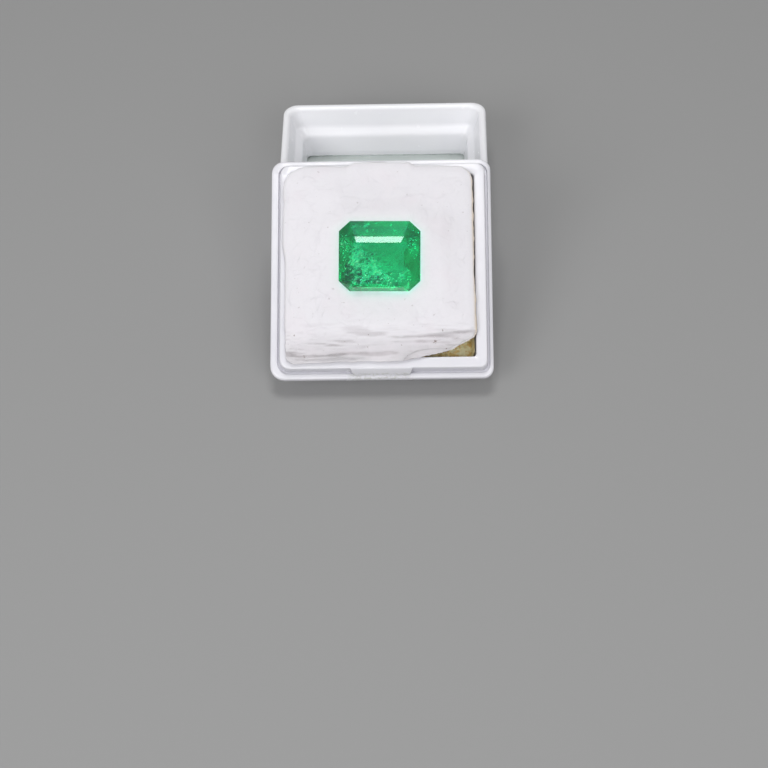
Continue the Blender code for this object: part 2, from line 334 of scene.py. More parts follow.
class StageSettings(bpy.types.PropertyGroup):
    floor_colour: colour_property("Floor", "Colour of the plain floor", (0.33, 0.33, 0.33))
    softbox: power_property("Softbox", "Power of the light overhead", 0.47)
    left_fill: power_property("Left fill", "Power of the wide light in front on the left", 1.20)
    right_fill: power_property("Right fill", "Power of the wide light in front on the right", 0.82)
    front_light: power_property("Front light", "Power of the small light straight in front", 0.26)
    left_key: power_property("Left key", "Power of the high light in front on the left", 0.14)
    right_key: power_property("Right key", "Power of the high light in front on the right", 0.16)
    ambient: bpy.props.FloatProperty(
        name="Ambient", description="Brightness of the even light all round", min=0.0, default=0.32)
    lens: bpy.props.FloatProperty(
        name="Lens", description="Focal length of the camera", subtype="DISTANCE_CAMERA", min=1.0,
        default=92.05)


class GemBoxSettings(bpy.types.PropertyGroup):
    tray: bpy.props.PointerProperty(type=TrayFinish)
    lid: bpy.props.PointerProperty(type=LidFinish)
    cotton: bpy.props.PointerProperty(type=CottonFinish)
    gold: bpy.props.PointerProperty(type=GoldFinish)
    emerald: bpy.props.PointerProperty(type=EmeraldFinish)
    stage: bpy.props.PointerProperty(type=StageSettings)


def settings():
    return bpy.context.scene.gem_box


def new_material(name):
    made = bpy.data.materials.new(name)
    made.use_nodes = True
    return made, made.node_tree, made.node_tree.nodes["Principled BSDF"]


def set_inputs(tree, node, inputs):
    """Links each named input where it is given a socket, or sets it to a plain value."""
    for name, value in inputs.items():
        if isinstance(value, bpy.types.NodeSocket):
            tree.links.new(value, node.inputs[name])
        else:
            node.inputs[name].default_value = value


def add_node(tree, kind, inputs=None, **properties):
    """A new node with its properties set, and its inputs set or linked."""
    node = tree.nodes.new(kind)
    for name, value in properties.items():
        setattr(node, name, value)
    set_inputs(tree, node, inputs or {})
    return node


def rgba(colour):
    return (*colour, 1.0)


def ramp(tree, factor, low, high):
    """A smooth mask that goes from 0 at low to 1 at high."""
    inputs = {"Value": factor, "From Min": low, "From Max": high}
    return add_node(tree, "ShaderNodeMapRange", inputs, interpolation_type="SMOOTHSTEP").outputs["Result"]


def mix_colours(tree, factor, first, second):
    """A mix of two colours, by the places of the Mix node's colour sockets."""
    factor_place, first_place, second_place, result_place = 0, 6, 7, 2
    inputs = {factor_place: factor, first_place: first, second_place: second}
    return add_node(tree, "ShaderNodeMix", inputs, data_type="RGBA").outputs[result_place]


def math_node(tree, operation, first, second=0.0):
    return add_node(tree, "ShaderNodeMath", {0: first, 1: second}, operation=operation).outputs[0]


def times(tree, first, second):
    return math_node(tree, "MULTIPLY", first, second)


def plus(tree, first, second):
    return math_node(tree, "ADD", first, second)


def strength(tree, mask, everywhere, added):
    """A strength that is more where a mask is full."""
    return plus(tree, times(tree, mask, added), everywhere)


def position(tree):
    return add_node(tree, "ShaderNodeNewGeometry").outputs["Position"]


def noise_mask(tree, place, **inputs):
    """Noise over the surface; inputs are named as on its node, and a scale counts for each metre."""
    return add_node(tree, "ShaderNodeTexNoise", {"Vector": place, **inputs}).outputs["Fac"]


def bump_normal(tree, **inputs):
    """The surface's direction with small bumps; inputs are named as on its node."""
    return add_node(tree, "ShaderNodeBump", inputs).outputs["Normal"]


def make_group(name, inputs, outputs):
    """An empty shader node group with the named sockets, and its two end nodes."""
    group = bpy.data.node_groups.new(name, "ShaderNodeTree")
    for way, sockets in (("INPUT", inputs), ("OUTPUT", outputs)):
        for label, kind in sockets.items():
            group.interface.new_socket(label, in_out=way, socket_type=kind)
    return group, add_node(group, "NodeGroupInput"), add_node(group, "NodeGroupOutput")


def moulded_skin():
    """Shared group: colour patches, uneven gloss and faint ripple of moulded plastic."""
    name = "Moulded skin"
    if name in bpy.data.node_groups:
        return bpy.data.node_groups[name]
    group, start, end = make_group(
        name,
        {"Colour": "NodeSocketColor", "Shade": "NodeSocketColor", "Roughness": "NodeSocketFloat",
         "Unevenness": "NodeSocketFloat"},
        {"Colour": "NodeSocketColor", "Roughness": "NodeSocketFloat", "Height": "NodeSocketFloat"})
    given = start.outputs
    place = position(group)
    patches = noise_mask(group, place, Scale=160.0, Detail=3.0)
    scuffs = noise_mask(group, place, Scale=900.0, Detail=4.0)
    shaded = ramp(group, patches, low=0.42, high=0.72)
    scuffed = times(group, ramp(group, scuffs, low=0.35, high=0.75), given["Unevenness"])
    set_inputs(group, end, {
        "Colour": mix_colours(group, shaded, given["Colour"], given["Shade"]),
        "Roughness": plus(group, scuffed, given["Roughness"]),
        "Height": patches,
    })
    return group


def slanting_wisps():
    """Shared group: fine noise drawn out along the garden's slanting wisps."""
    name = "Slanting wisps"
    if name in bpy.data.node_groups:
        return bpy.data.node_groups[name]
    group, start, end = make_group(name, {"Scale": "NodeSocketFloat"}, {"Mask": "NodeSocketFloat"})
    slant = {"Vector": position(group), "Rotation": (0.0, 0.0, WISP_SLANT), "Scale": WISP_DRAWN}
    along = add_node(group, "ShaderNodeMapping", slant, vector_type="TEXTURE").outputs["Vector"]
    wisps = noise_mask(group, along, Scale=start.outputs["Scale"], Detail=6.0, Roughness=0.7, Distortion=0.8)
    set_inputs(group, end, {"Mask": wisps})
    return group


def wisp_mask(tree, scale):
    return add_node(tree, "ShaderNodeGroup", {"Scale": scale}, node_tree=slanting_wisps()).outputs["Mask"]


def plastic_material(name, finish, ripple):
    """Glossy, slightly milky plastic with rounded edges; ripple is the strength of its faint waves."""
    made, tree, shader = new_material(name)
    values = {"Colour": rgba(finish.colour), "Shade": rgba(finish.shade), "Roughness": finish.roughness,
              "Unevenness": 0.1}
    skin = add_node(tree, "ShaderNodeGroup", values, node_tree=moulded_skin()).outputs
    edges = add_node(tree, "ShaderNodeBevel", {"Radius": MOULDED_EDGE}, samples=4).outputs["Normal"]
    set_inputs(tree, shader, {
        "Base Color": skin["Colour"],
        "Roughness": skin["Roughness"],
        "Normal": bump_normal(tree, Height=skin["Height"], Strength=ripple, Distance=0.0001, Normal=edges),
        "IOR": 1.49,
        "Subsurface Weight": 0.25,
        "Subsurface Radius": (1.0, 1.0, 1.0),
        "Subsurface Scale": 0.0008,
    })
    return made


def roughen_patch(tree, colour):
    """Roughens the plastic where the catch was cut free: creamy, matt and pitted."""
    shader = tree.nodes["Principled BSDF"]
    place = position(tree)
    grain = noise_mask(tree, place, Scale=2600.0, Detail=4.0, Roughness=0.7)
    parts = add_node(tree, "ShaderNodeSeparateXYZ", {"Vector": place}).outputs
    across = math_node(tree, "ABSOLUTE", math_node(tree, "SUBTRACT", parts["X"], PATCH_MIDDLE))
    across = plus(tree, across, times(tree, grain, PATCH_RAGGED))
    within = times(tree, ramp(tree, across, low=PATCH_HALF + PATCH_SIDE_FADE, high=PATCH_HALF),
                   ramp(tree, parts["Y"], low=PATCH_BACK, high=PATCH_BACK - PATCH_BACK_FADE))
    within = times(tree, within, ramp(tree, parts["Z"], low=PATCH_TOP + PATCH_TOP_FADE, high=PATCH_TOP))
    pits = times(tree, ramp(tree, grain, low=0.46, high=0.66), within)
    skin, gloss, normal = [shader.inputs[name].links[0].from_socket
                           for name in ("Base Color", "Roughness", "Normal")]
    set_inputs(tree, shader, {
        "Base Color": mix_colours(tree, pits, skin, rgba(colour)),
        "Roughness": strength(tree, within, everywhere=gloss, added=0.4),
        "Normal": bump_normal(tree, Height=pits, Strength=0.6, Distance=0.00012, Normal=normal),
    })


def pass_lamps(tree, shader):
    """Lets rays to the lamps straight through a clear piece, so that it throws no black shadow."""
    shadow_ray = add_node(tree, "ShaderNodeLightPath").outputs["Is Shadow Ray"]
    clear = add_node(tree, "ShaderNodeBsdfTransparent").outputs["BSDF"]
    both = add_node(tree, "ShaderNodeMixShader", {0: shadow_ray, 1: shader.outputs["BSDF"], 2: clear})
    tree.links.new(both.outputs["Shader"], tree.nodes["Material Output"].inputs["Surface"])


def window_material(finish):
    made, tree, shader = new_material("Clear window")
    set_inputs(tree, shader, {
        "Base Color": rgba(finish.window), "Roughness": 0.02, "Transmission Weight": 0.65, "IOR": 1.5})
    pass_lamps(tree, shader)
    return made


def gold_material(finish):
    """Foil with bright flecks between dull, worn patches."""
    made, tree, shader = new_material("Mottled gold foil")
    place = position(tree)
    blotches = noise_mask(tree, place, Scale=1500.0, Detail=5.0, Roughness=0.65)
    flecks = add_node(tree, "ShaderNodeTexVoronoi", {"Vector": place, "Scale": 1800.0}).outputs["Distance"]
    fresh = ramp(tree, blotches, low=0.40, high=0.58)
    set_inputs(tree, shader, {
        "Base Color": mix_colours(tree, fresh, rgba(finish.dull), rgba(finish.bright)),
        "Normal": bump_normal(tree, Height=flecks, Strength=0.6, Distance=0.0002),
        "Metallic": 0.1,
        "Roughness": 0.38,
    })
    return made


def cotton_material(finish):
    """Soft white fluff, with painted shade between strands, painted green light by the stone and painted
    golden light from the card.
    """
    made, tree, shader = new_material("Cotton wool")
    tone = add_node(tree, "ShaderNodeAttribute", attribute_name="tone").outputs
    parts = add_node(tree, "ShaderNodeSeparateColor", {"Color": tone["Color"]}).outputs
    place = position(tree)
    fluff = noise_mask(tree, place, Scale=2200.0, Detail=5.0, Roughness=0.6)
    clouds = noise_mask(tree, place, Scale=260.0, Detail=3.0)
    specks = noise_mask(tree, place, Scale=1500.0, Detail=2.0)
    # Painted shade: fine shade between strands, and the shade carried in the tone's green channel
    shade_mask = times(tree, ramp(tree, fluff, low=0.45, high=0.75), HOLLOW_SHADE)
    shade_mask = math_node(tree, "MAXIMUM", shade_mask, parts["Green"])
    cloudy = times(tree, ramp(tree, clouds, low=0.45, high=0.7), CLOUD_SHARE)
    specked = times(tree, ramp(tree, specks, low=0.70, high=0.76), parts["Blue"])
    base = mix_colours(tree, shade_mask, rgba(finish.colour), rgba(finish.painted_shade))
    base = mix_colours(tree, cloudy, base, rgba(finish.cloud))
    # Painted green light from the stone
    base = mix_colours(tree, parts["Red"], base, rgba(finish.beside_stone))
    base = mix_colours(tree, specked, base, rgba(finish.speck))
    # Painted golden light from the card
    base = mix_colours(tree, tone["Alpha"], base, rgba(finish.beside_gold))
    set_inputs(tree, shader, {
        "Base Color": base,
        "Normal": bump_normal(tree, Height=fluff, Strength=0.10, Distance=0.0001),
        "Roughness": 0.95,
        "Specular IOR Level": 0.15,
        "Sheen Weight": 0.3,
        "Subsurface Weight": 0.4,
        "Subsurface Radius": (1.0, 1.0, 1.0),
        "Subsurface Scale": 0.0006,
    })
    return made


def emerald_material(finish):
    """Clear green with a clouded, wispy skin over its garden, lighter towards the front left."""
    made, tree, shader = new_material("Emerald")
    place = position(tree)
    wisps = wisp_mask(tree, 2200.0)
    clouds = noise_mask(tree, place, Scale=420.0, Detail=2.0)
    parts = add_node(tree, "ShaderNodeSeparateXYZ", {"Vector": place}).outputs
    slant = plus(tree, times(tree, parts["X"], GARDEN_SLANT), parts["Y"])
    corner = ramp(tree, slant, low=GARDEN_FAR, high=GARDEN_NEAR)
    dark = times(tree, ramp(tree, wisps, low=0.50, high=0.62),
                 strength(tree, corner, everywhere=0.4, added=0.4))
    pale = times(tree, ramp(tree, clouds, low=0.35, high=0.65),
                 strength(tree, corner, everywhere=0.3, added=0.7))
    bright = times(tree, ramp(tree, wisps, low=0.50, high=0.40), corner)
    skin = mix_colours(tree, pale, rgba(finish.tint), rgba(finish.cloud))
    skin = mix_colours(tree, dark, skin, rgba(finish.deep))
    skin = mix_colours(tree, bright, skin, rgba(finish.feather))
    set_inputs(tree, shader, {
        "Base Color": skin,
        "Roughness": finish.roughness,
        "Specular Tint": rgba(finish.gleam),
        "Transmission Weight": 1.0,
        "IOR": finish.refraction,
        "Coat Weight": 1.0,
        "Coat Roughness": 0.0,
        "Coat IOR": finish.refraction,
    })
    absorption = add_node(tree, "ShaderNodeVolumeAbsorption",
                          {"Color": rgba(finish.colour), "Density": finish.density})
    tree.links.new(absorption.outputs["Volume"], tree.nodes["Material Output"].inputs["Volume"])
    pass_lamps(tree, shader)
    return made


def inclusion_material(name, colour, alpha, fineness, raggedness):
    """One look of the garden; where it has a fineness, it is ragged and full of holes."""
    made, tree, shader = new_material(name)
    if fineness:
        cover = ramp(tree, wisp_mask(tree, fineness), low=raggedness, high=raggedness + RAGGED_FADE)
        alpha = times(tree, cover, alpha)
    set_inputs(tree, shader, {"Base Color": rgba(colour), "Roughness": 0.5, "Alpha": alpha})
    return made


def dress(node, material):
    """Gives a node's own object this material in every slot."""
    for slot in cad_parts[node].material_slots:
        slot.material = material


def even_shading_group():
    """Joins a solid's split corners and shades it smooth, apart from its sharp edges."""
    name = "Even shading"
    if name in bpy.data.node_groups:
        return bpy.data.node_groups[name]
    group = bpy.data.node_groups.new(name, "GeometryNodeTree")
    for way in ("INPUT", "OUTPUT"):
        group.interface.new_socket("Geometry", in_out=way, socket_type="NodeSocketGeometry")
    start = add_node(group, "NodeGroupInput").outputs[0]
    bare = add_node(group, "GeometryNodeRemoveAttribute", {"Geometry": start, "Name": "custom_normal"})
    joined = add_node(group, "GeometryNodeMergeByDistance",
                      {"Geometry": bare.outputs[0], "Distance": SPLIT_CORNERS})
    angle = add_node(group, "GeometryNodeInputMeshEdgeAngle").outputs["Unsigned Angle"]
    sharp = add_node(group, "FunctionNodeCompare", {0: angle, 1: SHARP_ANGLE}, operation="GREATER_THAN")
    faces = add_node(group, "GeometryNodeSetShadeSmooth",
                     {"Geometry": joined.outputs[0], "Shade Smooth": True}, domain="FACE")
    edges = add_node(group, "GeometryNodeSetShadeSmooth",
                     {"Geometry": faces.outputs[0], "Selection": sharp.outputs[0], "Shade Smooth": False},
                     domain="EDGE")
    add_node(group, "NodeGroupOutput", {0: edges.outputs[0]})
    return group


def even_shading(node):
    """Shades a moulded piece evenly, with its large faces flat."""
    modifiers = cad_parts[node].modifiers
    modifiers.new("Even shading", "NODES").node_group = even_shading_group()
    modifiers.new("Flat faces", "WEIGHTED_NORMAL").keep_sharp = True


def linked(name, data):
    """A new object of this data, linked to the scene."""
    made = bpy.data.objects.new(name, data)
    bpy.context.scene.collection.objects.link(made)
    return made


def mesh_object(name, vertices, faces, smooth=True):
    mesh = bpy.data.meshes.new(name)
    mesh.from_pydata([tuple(point) for point in vertices], [], faces)
    mesh.update()
    if smooth:
        mesh.shade_smooth()
    return linked(name, mesh)


def evaluated(thing):
    """The mesh of an object with its modifiers applied; the object itself is removed."""
    bpy.context.view_layer.update()
    graph = bpy.context.evaluated_depsgraph_get()
    mesh = bpy.data.meshes.new_from_object(thing.evaluated_get(graph))
    bpy.data.objects.remove(thing, do_unlink=True)
    return mesh


def vertex_values(mesh, name):
    """Every vertex's place or direction, one to a row."""
    values = np.zeros(len(mesh.vertices) * 3)
    mesh.vertices.foreach_get(name, values)
    return values.reshape(-1, 3)


def smoothstep(values, low, high):
    t = np.clip((values - low) / (high - low), 0.0, 1.0)
    return t * t * (3 - 2 * t)


def noise_at(points, closeness, function=noise.noise):
    """A noise function's value at each point; closeness is one number, or one for each axis."""
    return np.array([function(Vector(point)) for point in points * np.array(closeness)])


def strands(point):
    return noise.ridged_multi_fractal(point, 0.9, 2.1, 4, 1.0, 2.0)


def wool(point):
    return noise.fractal(point, 0.7, 2.2, 4)


def ring_faces(rings, around, first=0):
    """Faces of a tube whose rings of points follow each other from the vertex given, with closed ends."""
    last = first + (rings - 1) * around
    faces = [tuple(reversed(range(first, first + around))), tuple(range(last, last + around))]
    for low in range(first, last, around):
        high = low + around
        for index in range(around):
            after = (index + 1) % around
            faces.append((low + index, low + after, high + after, high + index))
    return faces


def make_card_edge():
    """The gold card's right edge, which curls up the tray's wall all the way along it."""
    inner = [(x - CARD_EDGE_THICKNESS, z + CARD_EDGE_THICKNESS) for x, z in CARD_EDGE]
    ring = inner + list(reversed(CARD_EDGE))
    points = []
    for row in range(CARD_EDGE_ROWS + 1):
        y = CARD_EDGE_REACH * (2.0 * row / CARD_EDGE_ROWS - 1.0)
        wave = CARD_EDGE_WAVE * sum(math.sin(rate * y + start) - 1.0 for rate, start in CARD_EDGE_RIPPLES)
        points.extend(TRAY @ Vector((x + wave, y, z)) for x, z in ring)
    faces = ring_faces(CARD_EDGE_ROWS + 1, len(ring))
    return mesh_object("gold_card_edge", points, faces, smooth=False)


class GemShape:
    """The stone's planes in the tray's frame, for what lies against it or within it."""

    def __init__(self):
        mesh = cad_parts["emerald"].data
        corners = [INTO_TRAY @ vertex.co for vertex in mesh.vertices]
        planes = []
        for face in mesh.polygons:
            a, b, c = (corners[index] for index in face.vertices[:3])
            normal = (b - a).cross(c - a).normalized()
            planes.append((*normal, normal.dot(a)))
        self.planes = np.array(planes)
        self.under = self.planes[self.planes[:, 2] < -SLOPING]
        self.over = self.planes[self.planes[:, 2] > SLOPING]
        self.sides = self.planes[np.abs(self.planes[:, 2]) < UPRIGHT]

    def underside(self, x, y):
        """Height of the stone's lower facets, which go on upwards outside its edge."""
        heights = [(d - a * x - b * y) / c for a, b, c, d in self.under]
        return np.max(heights, axis=0)

    def skin(self, x, y):
        """Point of the upper facets at this place, and its facet's outward direction."""
        height, facet = min(((d - a * x - b * y) / c, (a, b, c)) for a, b, c, d in self.over)
        return Vector((x, y, height)), Vector(facet)

    def outside(self, x, y):
        """Distance outside the girdle, negative within it."""
        girdle = self.girdle_height(y)
        gaps = [(a * x + b * y + c * girdle - d) / math.hypot(a, b) for a, b, c, d in self.sides]
        return np.max(gaps, axis=0)

    def girdle_height(self, y):
        return GEM_MIDDLE.z + (y - GEM_MIDDLE.y) * math.tan(GEM_LEAN)

    def holds(self, point):
        """Whether a point lies inside the stone, with some cover over it."""
        return bool(np.all(self.planes[:, :3] @ np.array(point) < self.planes[:, 3] - INCLUSION_COVER))


def rounded_loop(corners, radii, height):
    """Points of a polygon with rounded corners, anticlockwise, the same number at each corner."""
    points = []
    for index, corner in enumerate(corners):
        here = Vector(corner)
        back = (Vector(corners[index - 1]) - here).normalized()
        ahead = (Vector(corners[(index + 1) % len(corners)]) - here).normalized()
        half = back.angle(ahead) / 2
        centre = here + (back + ahead).normalized() * (radii[index] / math.sin(half))
        start = here + back * (radii[index] / math.tan(half)) - centre
        sweep = math.pi - 2 * half
        for step in range(PAD_CORNER_STEPS + 1):
            place = centre + Matrix.Rotation(sweep * step / PAD_CORNER_STEPS, 2) @ start
            points.append(Vector((*place, height)))
    return points


def moved_in(place, inset):
    return place - inset * np.clip(place / PAD_INSET_FULL, -1.0, 1.0)


def pad_base():
    """A closed, evenly meshed pad: fills the tray, lies over the collar and swells to a low crown."""
    points = []
    for inset, height, corners in PAD_LEVELS:
        plan = [(moved_in(x, inset), moved_in(y, inset)) for x, y in corners]
        radii = [radius * (1.0 + PAD_ROUNDING * inset) for radius in PAD_RADII]
        points.extend(rounded_loop(plan, radii, height))
    faces = ring_faces(len(PAD_LEVELS), len(points) // len(PAD_LEVELS))
    base = mesh_object("pad_base", points, faces)
    remesh = base.modifiers.new("Even mesh", "REMESH")
    remesh.mode = "VOXEL"
    remesh.voxel_size = PAD_VOXEL
    base.modifiers.new("Soften", "SMOOTH").iterations = PAD_SMOOTHING
    return evaluated(base)


def fluff_up(points, normals, band, torn):
    """The points with swells, fluff, torn strands and ragged sides."""
    moved = points.copy()
    swell = sum(height * noise_at(points, closeness) for height, closeness in SWELLS)
    fluff = (FLUFF_HEIGHT + TORN_FLUFF_HEIGHT * band) * noise_at(points, FLUFF_CLOSENESS, wool)
    moved += normals * (swell + fluff + STRAND_HEIGHT * torn * band)[:, None]
    side = smoothstep(np.abs(normals[:, 2]), *STANDING)
    ragged = noise_at(points, RAGGED_CLOSENESS, wool)
    moved[:, :2] += normals[:, :2] * (RAGGED_REACH * ragged * side)[:, None]
    return moved


def press_in(moved, points, up, gem):
    """Draws the points to the girdle and dents them under the stone; gives their distance outside it."""
    outside = gem.outside(moved[:, 0], moved[:, 1])
    near = np.exp(-np.square(np.maximum(outside, 0.0) / DENT_REACH))
    uneven = DENT_UNEVENNESS * noise_at(points, DENT_CLOSENESS)
    wanted = gem.girdle_height(moved[:, 1]) - DENT_BELOW_GIRDLE + uneven
    moved[:, 2] += (wanted - moved[:, 2]) * near * up
    under = gem.underside(moved[:, 0], moved[:, 1]) - DENT_GAP
    pressed = (up > 0.0) & (outside < DENT_EDGE)
    moved[:, 2] = np.where(pressed, np.minimum(moved[:, 2], under), moved[:, 2])
    return outside


def shape_cotton(points, normals, gem):
    """The pad's points moved into cotton wool, and their tones: painted light, painted shade and real
    specks.
    """
    x, y, z = points.T
    up = smoothstep(normals[:, 2], *LYING)
    band = smoothstep(-y, *TORN_BAND)
    torn = noise_at(points, STRAND_CLOSENESS, strands)
    torn = torn - torn.mean()
    moved = fluff_up(points, normals, band, torn)
    bulge = smoothstep(y, *BACK_BULGE_ALONG) * smoothstep(BACK_BULGE_HALF - np.abs(x), *BACK_BULGE_FADE)
    moved[:, 1] += BACK_BULGE * bulge
    leftwards = LEFT_EDGE_OUT * smoothstep(y, *LEFT_EDGE_ALONG) - LEFT_EDGE_IN
    moved[:, 0] -= leftwards * smoothstep(-x, *LEFT_EDGE_ACROSS)
    crease = CREASE_Y + CREASE_TURN * (x - CREASE_X) - y
    folded = smoothstep(crease, *CREASE_FALL) * smoothstep(x, *CREASE_ACROSS)
    sag = smoothstep(-y, *FRONT_SAG_ALONG) * smoothstep(z, *FRONT_SAG_UP)
    moved[:, 2] -= CREASE_DEPTH * folded * up + FRONT_SAG * sag
    outside = press_in(moved, points, up, gem)
    # Painted shade in the crease, between strands in the torn band and towards the front, and painted light
    # from the gold card on the side facing it
    shadow = smoothstep(crease, *CREASE_SHADE_NEAR) * smoothstep(crease, *CREASE_SHADE_FAR)
    shadow = shadow * smoothstep(x, *CREASE_SHADE_ACROSS)
    shade_between_strands = STREAK_SHADE * band * smoothstep(-torn, *STREAK_DEPTH)
    front = FRONT_SHADE * smoothstep(-y, *FRONT_SHADE_ALONG)
    shine = smoothstep(normals[:, 0], *GOLD_SHINE_FACING) * smoothstep(x, *GOLD_SHINE_ACROSS)
    # Tone channels: painted green light from the stone, painted shade, real specks, painted light from the
    # gold card
    tone = np.zeros((len(points), 4), np.float32)
    tone[:, 0] = green_glow(outside) * up
    tone[:, 1] = np.clip(shade_between_strands + front + CREASE_SHADE * shadow + FOLDED_SHADE * folded, 0.0, 1.0)
    tone[:, 2] = SPECKS + TORN_SPECKS * band
    tone[:, 3] = GOLD_SHINE * shine
    return moved, tone


def green_glow(outside):
    """How much painted green light from the stone the cotton takes at this distance outside it."""
    return GLOW * (1.0 - smoothstep(outside, *GLOW_AROUND))


def paint(mesh, tone):
    layer = mesh.color_attributes.new("tone", "FLOAT_COLOR", "POINT")
    layer.data.foreach_set("color", tone.ravel())


def make_cotton(finish, material):
    gem = GemShape()
    mesh = pad_base()
    moved, tone = shape_cotton(vertex_values(mesh, "co"), vertex_values(mesh, "normal"), gem)
    mesh.vertices.foreach_set("co", moved.ravel())
    mesh.name = "cotton"
    mesh.update()
    mesh.shade_smooth()
    paint(mesh, tone)
    cotton = linked("cotton", mesh)
    tree = BVHTree.FromObject(cotton, bpy.context.evaluated_depsgraph_get())
    fibres = make_fibres(finish, tree, gem)
    for piece in (cotton, fibres):
        piece.data.materials.append(material)
        piece.data.transform(TRAY)
    fibres.parent = cotton
    return cotton


def fibre_path(dice, tree, gem):
    """A gently curling path that lies on the cotton, or None where there is no room for it."""
    x = dice.uniform(*FIBRE_ACROSS)
    y = dice.uniform(*FIBRE_ALONG)
    heading = dice.uniform(0, math.tau)
    if y < FIBRE_COMBED:
        heading = dice.choice((0.0, math.pi)) + dice.gauss(0.0, FIBRE_SPREAD)
    curl = dice.gauss(0.0, FIBRE_CURL) / 2
    step = dice.uniform(*FIBRE_STEP)
    lift = dice.uniform(*FIBRE_LIFT)
    path = []
    for index in range(FIBRE_POINTS):
        hit = tree.ray_cast(Vector((x, y, ABOVE_ALL)), -UP)[0]
        if hit is None or hit.z < FIBRE_LOWEST or gem.outside(np.array(x), np.array(y)) < FIBRE_GEM_GAP:
            return None
        along = index / (FIBRE_POINTS - 1)
        path.append(Vector((x, y, hit.z + FIBRE_HEIGHT + lift * math.sin(math.pi * along))))
        heading += curl + dice.gauss(0.0, FIBRE_WANDER)
        x += step * math.cos(heading)
        y += step * math.sin(heading)
    return path


def fibre_tube(path, radius):
    """Points of a thin tube along a path, which tapers to its ends."""
    points = []
    for index, centre in enumerate(path):
        ahead = path[min(index + 1, len(path) - 1)] - path[max(index - 1, 0)]
        across = ahead.cross(UP).normalized()
        rise = across.cross(ahead).normalized()
        width = radius * (FIBRE_TIP + (1.0 - FIBRE_TIP) * math.sin(math.pi * index / (len(path) - 1)))
        for side in range(FIBRE_SIDES):
            turn = math.tau * side / FIBRE_SIDES
            points.append(centre + (across * math.cos(turn) + rise * math.sin(turn)) * width)
    return points


def make_fibres(finish, tree, gem):
    """Loose fibres on the pad."""
    dice = random.Random(SEED)
    points = []
    faces = []
    made = 0
    for _ in range(finish.fibres * FIBRE_TRIES):
        if made >= finish.fibres:
            break
        path = fibre_path(dice, tree, gem)
        if path is None:
            continue
        made += 1
        faces.extend(ring_faces(len(path), FIBRE_SIDES, len(points)))
        points.extend(fibre_tube(path, finish.fibre_width / MM / 2))
    fibres = mesh_object("cotton_fibres", points, faces)
    places = np.array(points)
    # Painted green light from the stone, as on the cotton
    tone = np.zeros((len(points), 4), np.float32)
    tone[:, 0] = green_glow(gem.outside(places[:, 0], places[:, 1]))
    paint(fibres.data, tone)
    return fibres


def flake(dice, centre, length, width, turn):
    """Corners of one small bent flake, its middle first."""
    rim = dice.randint(*INCLUSION_RIM)
    corners = [centre]
    for index in range(rim):
        angle = math.tau * index / rim
        reach = dice.uniform(*INCLUSION_RIM_REACH)
        corners.append(centre + turn @ Vector((math.cos(angle) * reach * length,
                                               math.sin(angle) * reach * width,
                                               dice.uniform(-INCLUSION_BEND, INCLUSION_BEND) * width)))
    return corners


def lay_flake(dice, gem, regions, longest, slimmest, deepest):
    """Corners of a flake just under the upper facets, laid along the facet over it."""
    x, y, spread_x, spread_y = dice.choice(regions)
    x = GEM_MIDDLE.x + dice.gauss(x, spread_x)
    y = GEM_MIDDLE.y + dice.gauss(y, spread_y)
    above, outwards = gem.skin(x, y)
    length = longest * dice.uniform(INCLUSION_SHORTEST, 1.0)
    width = length * dice.uniform(slimmest, 1.0)
    depth = INCLUSION_COVER + INCLUSION_SINK * width + deepest * dice.random()
    turn = UP.rotation_difference(outwards).to_matrix()
    for axis, middle, spread in FLAKE_TURNS:
        turn = turn @ Matrix.Rotation(dice.gauss(middle, spread), 3, axis)
    return flake(dice, above - outwards * depth, length, width, turn)


def make_inclusions(finish):
    """The stone's garden: feathers, dark patches and sparkling flakes, most of them near its front left."""
    dice = random.Random(SEED)
    gem = GemShape()
    points = []
    faces = []
    slots = []
    for slot, share, *kind in INCLUSION_KINDS:
        for _ in range(round(finish.inclusions * share)):
            corners = lay_flake(dice, gem, *kind)
            if not all(gem.holds(corner) for corner in corners):
                continue
            middle = len(points)
            rim = len(corners) - 1
            points.extend(corners)
            for index in range(rim):
                faces.append((middle, middle + 1 + index, middle + 1 + (index + 1) % rim))
                slots.append(slot)
    flakes = mesh_object("emerald_garden", points, faces, smooth=False)
    flakes.data.transform(TRAY)
    for look in INCLUSION_LOOKS:
        flakes.data.materials.append(inclusion_material(*look))
    flakes.data.polygons.foreach_set("material_index", slots)
    return flakes


class GEMBOX_OT_tray(bpy.types.Operator):
    """Dresses the tray in glossy, slightly milky white plastic"""
    bl_idname = "gem_box.tray"
    bl_label = "Tray"

    def execute(self, context):
        finish = settings().tray
        plastic = plastic_material("Tray plastic", finish, TRAY_RIPPLE)
        roughen_patch(plastic.node_tree, finish.patch)
        dress("base_tray", plastic)
        even_shading("base_tray")
        return {"FINISHED"}


class GEMBOX_OT_lid(bpy.types.Operator):
    """Dresses the lid's frame and its clear window"""
    bl_idname = "gem_box.lid"
    bl_label = "Lid"

    def execute(self, context):
        finish = settings().lid
        dress("lid_frame", plastic_material("Lid plastic", finish, LID_RIPPLE))
        even_shading("lid_frame")
        dress("lid_window", window_material(finish))
        return {"FINISHED"}


class GEMBOX_OT_card(bpy.types.Operator):
    """Dresses the card on the tray's floor in mottled gold foil, and makes its curled edge"""
    bl_idname = "gem_box.card"
    bl_label = "Gold card"

    def execute(self, context):
        foil = gold_material(settings().gold)
        dress("gold_liner", foil)
        edge = make_card_edge()
        edge.data.materials.append(foil)
        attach(edge, BODY)
        return {"FINISHED"}


